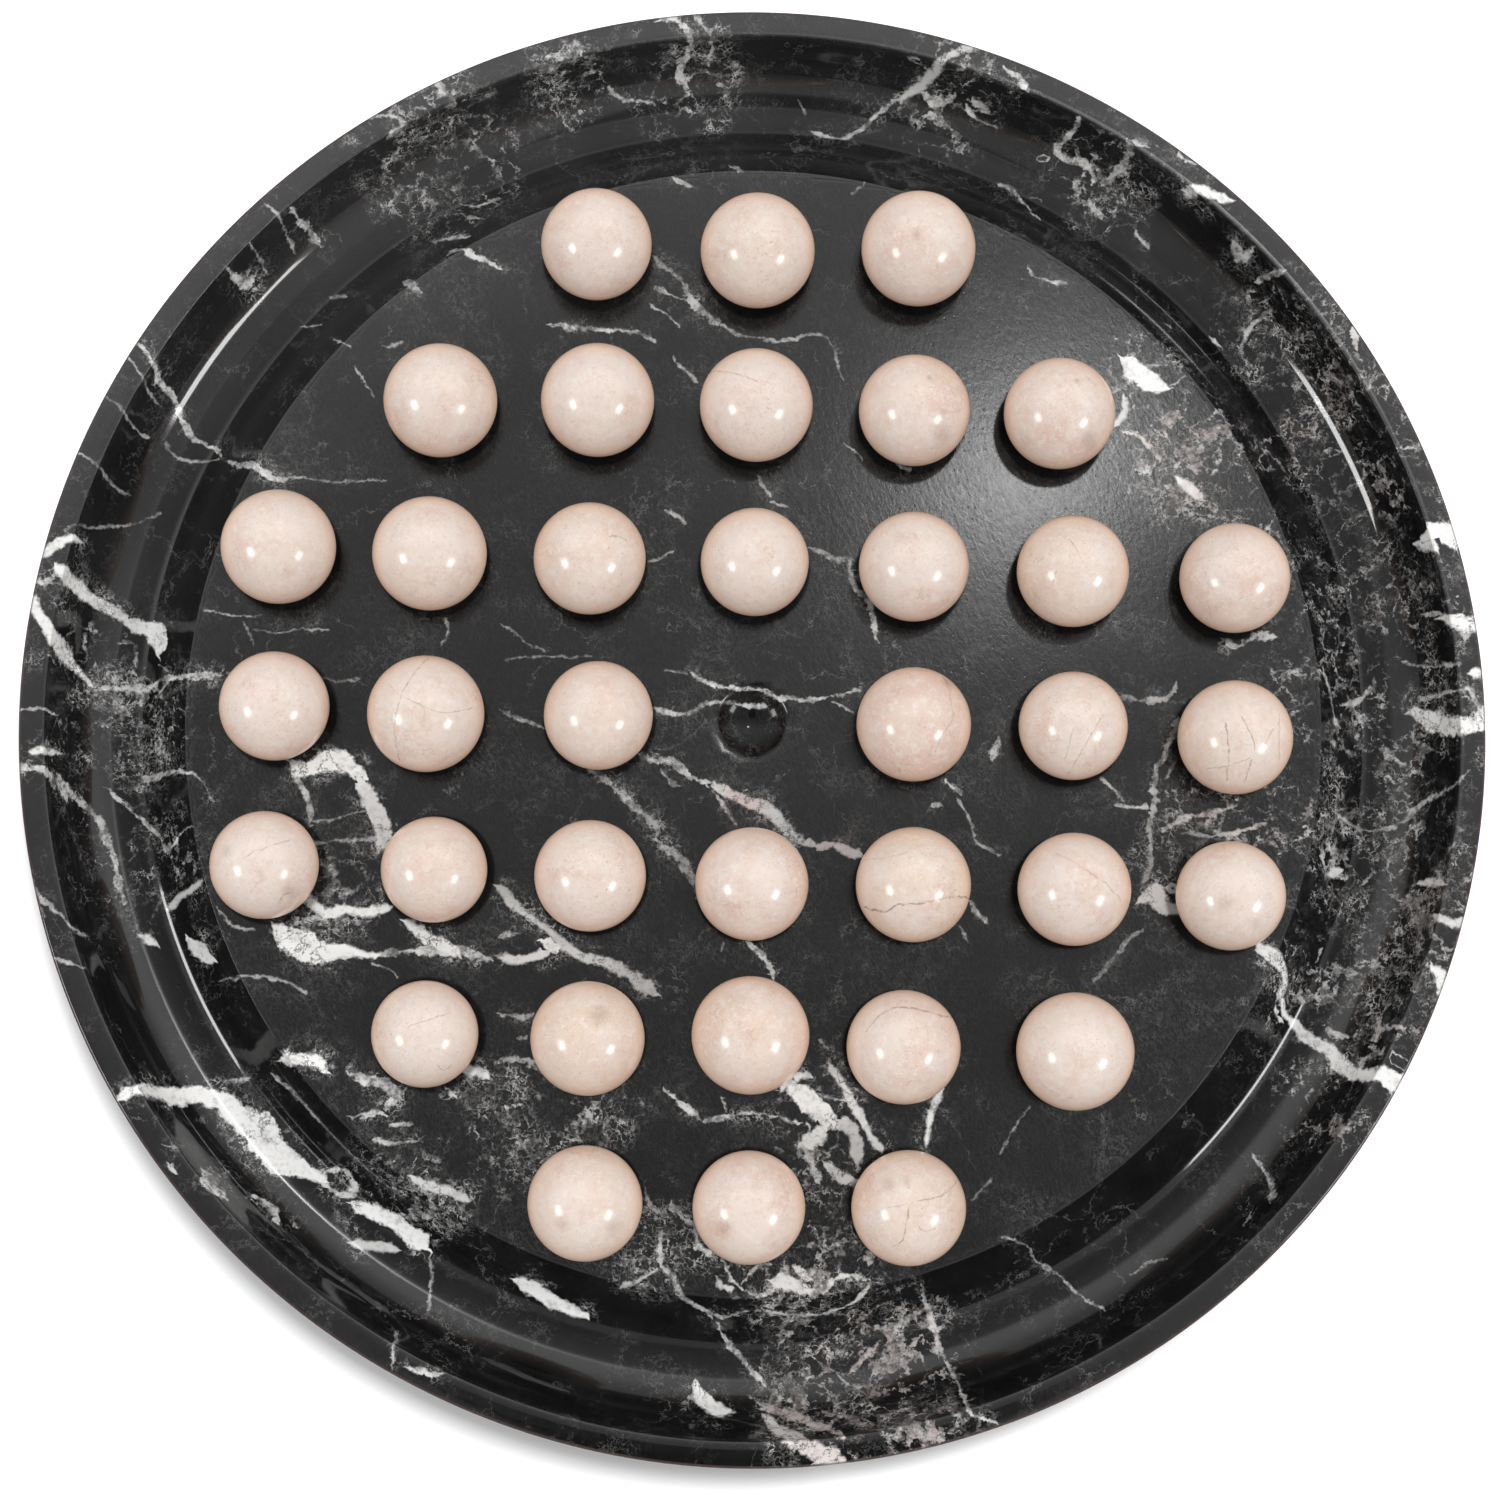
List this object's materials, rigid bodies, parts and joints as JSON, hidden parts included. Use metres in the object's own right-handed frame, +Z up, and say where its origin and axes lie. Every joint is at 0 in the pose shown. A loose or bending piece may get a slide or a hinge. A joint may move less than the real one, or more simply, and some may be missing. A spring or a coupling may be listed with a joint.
{
  "type": "marble solitaire board",
  "caption": "Round black marble peg-solitaire board with a raised rim, a storage groove and polished pink stone marbles seated in a cross of hollows, the centre hollow empty.",
  "frame": {"origin": "middle of the felt's underside, where the board rests on the table", "axes": "+Z up out of the playing surface, +Y towards the back row of three seats, +X to the right of a player sitting at the front"},
  "size_m": [0.4, 0.4, 0.0523],
  "materials": {
    "black_marble": "near-black marble with white and grey veins, honed on the rim and plateau, polished in the groove and seats",
    "pink_marble": "polished pale pink marble with faint mottling and hairline brown cracks",
    "felt": "thin black wool felt"
  },
  "bodies": {
    "board": {"board": "black_marble", "felt_backing": "felt"},
    "marble_r1_c3": {"marble_r1_c3": "pink_marble"},
    "marble_r1_c4": {"marble_r1_c4": "pink_marble"},
    "marble_r1_c5": {"marble_r1_c5": "pink_marble"},
    "marble_r2_c2": {"marble_r2_c2": "pink_marble"},
    "marble_r2_c3": {"marble_r2_c3": "pink_marble"},
    "marble_r2_c4": {"marble_r2_c4": "pink_marble"},
    "marble_r2_c5": {"marble_r2_c5": "pink_marble"},
    "marble_r2_c6": {"marble_r2_c6": "pink_marble"},
    "marble_r3_c1": {"marble_r3_c1": "pink_marble"},
    "marble_r3_c2": {"marble_r3_c2": "pink_marble"},
    "marble_r3_c3": {"marble_r3_c3": "pink_marble"},
    "marble_r3_c4": {"marble_r3_c4": "pink_marble"},
    "marble_r3_c5": {"marble_r3_c5": "pink_marble"},
    "marble_r3_c6": {"marble_r3_c6": "pink_marble"},
    "marble_r3_c7": {"marble_r3_c7": "pink_marble"},
    "marble_r4_c1": {"marble_r4_c1": "pink_marble"},
    "marble_r4_c2": {"marble_r4_c2": "pink_marble"},
    "marble_r4_c3": {"marble_r4_c3": "pink_marble"},
    "marble_r4_c5": {"marble_r4_c5": "pink_marble"},
    "marble_r4_c6": {"marble_r4_c6": "pink_marble"},
    "marble_r4_c7": {"marble_r4_c7": "pink_marble"},
    "marble_r5_c1": {"marble_r5_c1": "pink_marble"},
    "marble_r5_c2": {"marble_r5_c2": "pink_marble"},
    "marble_r5_c3": {"marble_r5_c3": "pink_marble"},
    "marble_r5_c4": {"marble_r5_c4": "pink_marble"},
    "marble_r5_c5": {"marble_r5_c5": "pink_marble"},
    "marble_r5_c6": {"marble_r5_c6": "pink_marble"},
    "marble_r5_c7": {"marble_r5_c7": "pink_marble"},
    "marble_r6_c2": {"marble_r6_c2": "pink_marble"},
    "marble_r6_c3": {"marble_r6_c3": "pink_marble"},
    "marble_r6_c4": {"marble_r6_c4": "pink_marble"},
    "marble_r6_c5": {"marble_r6_c5": "pink_marble"},
    "marble_r6_c6": {"marble_r6_c6": "pink_marble"},
    "marble_r7_c3": {"marble_r7_c3": "pink_marble"},
    "marble_r7_c4": {"marble_r7_c4": "pink_marble"},
    "marble_r7_c5": {"marble_r7_c5": "pink_marble"}
  },
  "joints": [
    {"name": "lift_r1_c3", "type": "slide", "parent": "board", "child": "marble_r1_c3", "axis": [0, 0, 1], "range_m": [0, 0.045]},
    {"name": "lift_r1_c4", "type": "slide", "parent": "board", "child": "marble_r1_c4", "axis": [0, 0, 1], "range_m": [0, 0.045]},
    {"name": "lift_r1_c5", "type": "slide", "parent": "board", "child": "marble_r1_c5", "axis": [0, 0, 1], "range_m": [0, 0.045]},
    {"name": "lift_r2_c2", "type": "slide", "parent": "board", "child": "marble_r2_c2", "axis": [0, 0, 1], "range_m": [0, 0.045]},
    {"name": "lift_r2_c3", "type": "slide", "parent": "board", "child": "marble_r2_c3", "axis": [0, 0, 1], "range_m": [0, 0.045]},
    {"name": "lift_r2_c4", "type": "slide", "parent": "board", "child": "marble_r2_c4", "axis": [0, 0, 1], "range_m": [0, 0.045]},
    {"name": "lift_r2_c5", "type": "slide", "parent": "board", "child": "marble_r2_c5", "axis": [0, 0, 1], "range_m": [0, 0.045]},
    {"name": "lift_r2_c6", "type": "slide", "parent": "board", "child": "marble_r2_c6", "axis": [0, 0, 1], "range_m": [0, 0.045]},
    {"name": "lift_r3_c1", "type": "slide", "parent": "board", "child": "marble_r3_c1", "axis": [0, 0, 1], "range_m": [0, 0.045]},
    {"name": "lift_r3_c2", "type": "slide", "parent": "board", "child": "marble_r3_c2", "axis": [0, 0, 1], "range_m": [0, 0.045]},
    {"name": "lift_r3_c3", "type": "slide", "parent": "board", "child": "marble_r3_c3", "axis": [0, 0, 1], "range_m": [0, 0.045]},
    {"name": "lift_r3_c4", "type": "slide", "parent": "board", "child": "marble_r3_c4", "axis": [0, 0, 1], "range_m": [0, 0.045]},
    {"name": "lift_r3_c5", "type": "slide", "parent": "board", "child": "marble_r3_c5", "axis": [0, 0, 1], "range_m": [0, 0.045]},
    {"name": "lift_r3_c6", "type": "slide", "parent": "board", "child": "marble_r3_c6", "axis": [0, 0, 1], "range_m": [0, 0.045]},
    {"name": "lift_r3_c7", "type": "slide", "parent": "board", "child": "marble_r3_c7", "axis": [0, 0, 1], "range_m": [0, 0.045]},
    {"name": "lift_r4_c1", "type": "slide", "parent": "board", "child": "marble_r4_c1", "axis": [0, 0, 1], "range_m": [0, 0.045]},
    {"name": "lift_r4_c2", "type": "slide", "parent": "board", "child": "marble_r4_c2", "axis": [0, 0, 1], "range_m": [0, 0.045]},
    {"name": "lift_r4_c3", "type": "slide", "parent": "board", "child": "marble_r4_c3", "axis": [0, 0, 1], "range_m": [0, 0.045]},
    {"name": "lift_r4_c5", "type": "slide", "parent": "board", "child": "marble_r4_c5", "axis": [0, 0, 1], "range_m": [0, 0.045]},
    {"name": "lift_r4_c6", "type": "slide", "parent": "board", "child": "marble_r4_c6", "axis": [0, 0, 1], "range_m": [0, 0.045]},
    {"name": "lift_r4_c7", "type": "slide", "parent": "board", "child": "marble_r4_c7", "axis": [0, 0, 1], "range_m": [0, 0.045]},
    {"name": "lift_r5_c1", "type": "slide", "parent": "board", "child": "marble_r5_c1", "axis": [0, 0, 1], "range_m": [0, 0.045]},
    {"name": "lift_r5_c2", "type": "slide", "parent": "board", "child": "marble_r5_c2", "axis": [0, 0, 1], "range_m": [0, 0.045]},
    {"name": "lift_r5_c3", "type": "slide", "parent": "board", "child": "marble_r5_c3", "axis": [0, 0, 1], "range_m": [0, 0.045]},
    {"name": "lift_r5_c4", "type": "slide", "parent": "board", "child": "marble_r5_c4", "axis": [0, 0, 1], "range_m": [0, 0.045]},
    {"name": "lift_r5_c5", "type": "slide", "parent": "board", "child": "marble_r5_c5", "axis": [0, 0, 1], "range_m": [0, 0.045]},
    {"name": "lift_r5_c6", "type": "slide", "parent": "board", "child": "marble_r5_c6", "axis": [0, 0, 1], "range_m": [0, 0.045]},
    {"name": "lift_r5_c7", "type": "slide", "parent": "board", "child": "marble_r5_c7", "axis": [0, 0, 1], "range_m": [0, 0.045]},
    {"name": "lift_r6_c2", "type": "slide", "parent": "board", "child": "marble_r6_c2", "axis": [0, 0, 1], "range_m": [0, 0.045]},
    {"name": "lift_r6_c3", "type": "slide", "parent": "board", "child": "marble_r6_c3", "axis": [0, 0, 1], "range_m": [0, 0.045]},
    {"name": "lift_r6_c4", "type": "slide", "parent": "board", "child": "marble_r6_c4", "axis": [0, 0, 1], "range_m": [0, 0.045]},
    {"name": "lift_r6_c5", "type": "slide", "parent": "board", "child": "marble_r6_c5", "axis": [0, 0, 1], "range_m": [0, 0.045]},
    {"name": "lift_r6_c6", "type": "slide", "parent": "board", "child": "marble_r6_c6", "axis": [0, 0, 1], "range_m": [0, 0.045]},
    {"name": "lift_r7_c3", "type": "slide", "parent": "board", "child": "marble_r7_c3", "axis": [0, 0, 1], "range_m": [0, 0.045]},
    {"name": "lift_r7_c4", "type": "slide", "parent": "board", "child": "marble_r7_c4", "axis": [0, 0, 1], "range_m": [0, 0.045]},
    {"name": "lift_r7_c5", "type": "slide", "parent": "board", "child": "marble_r7_c5", "axis": [0, 0, 1], "range_m": [0, 0.045]}
  ]
}
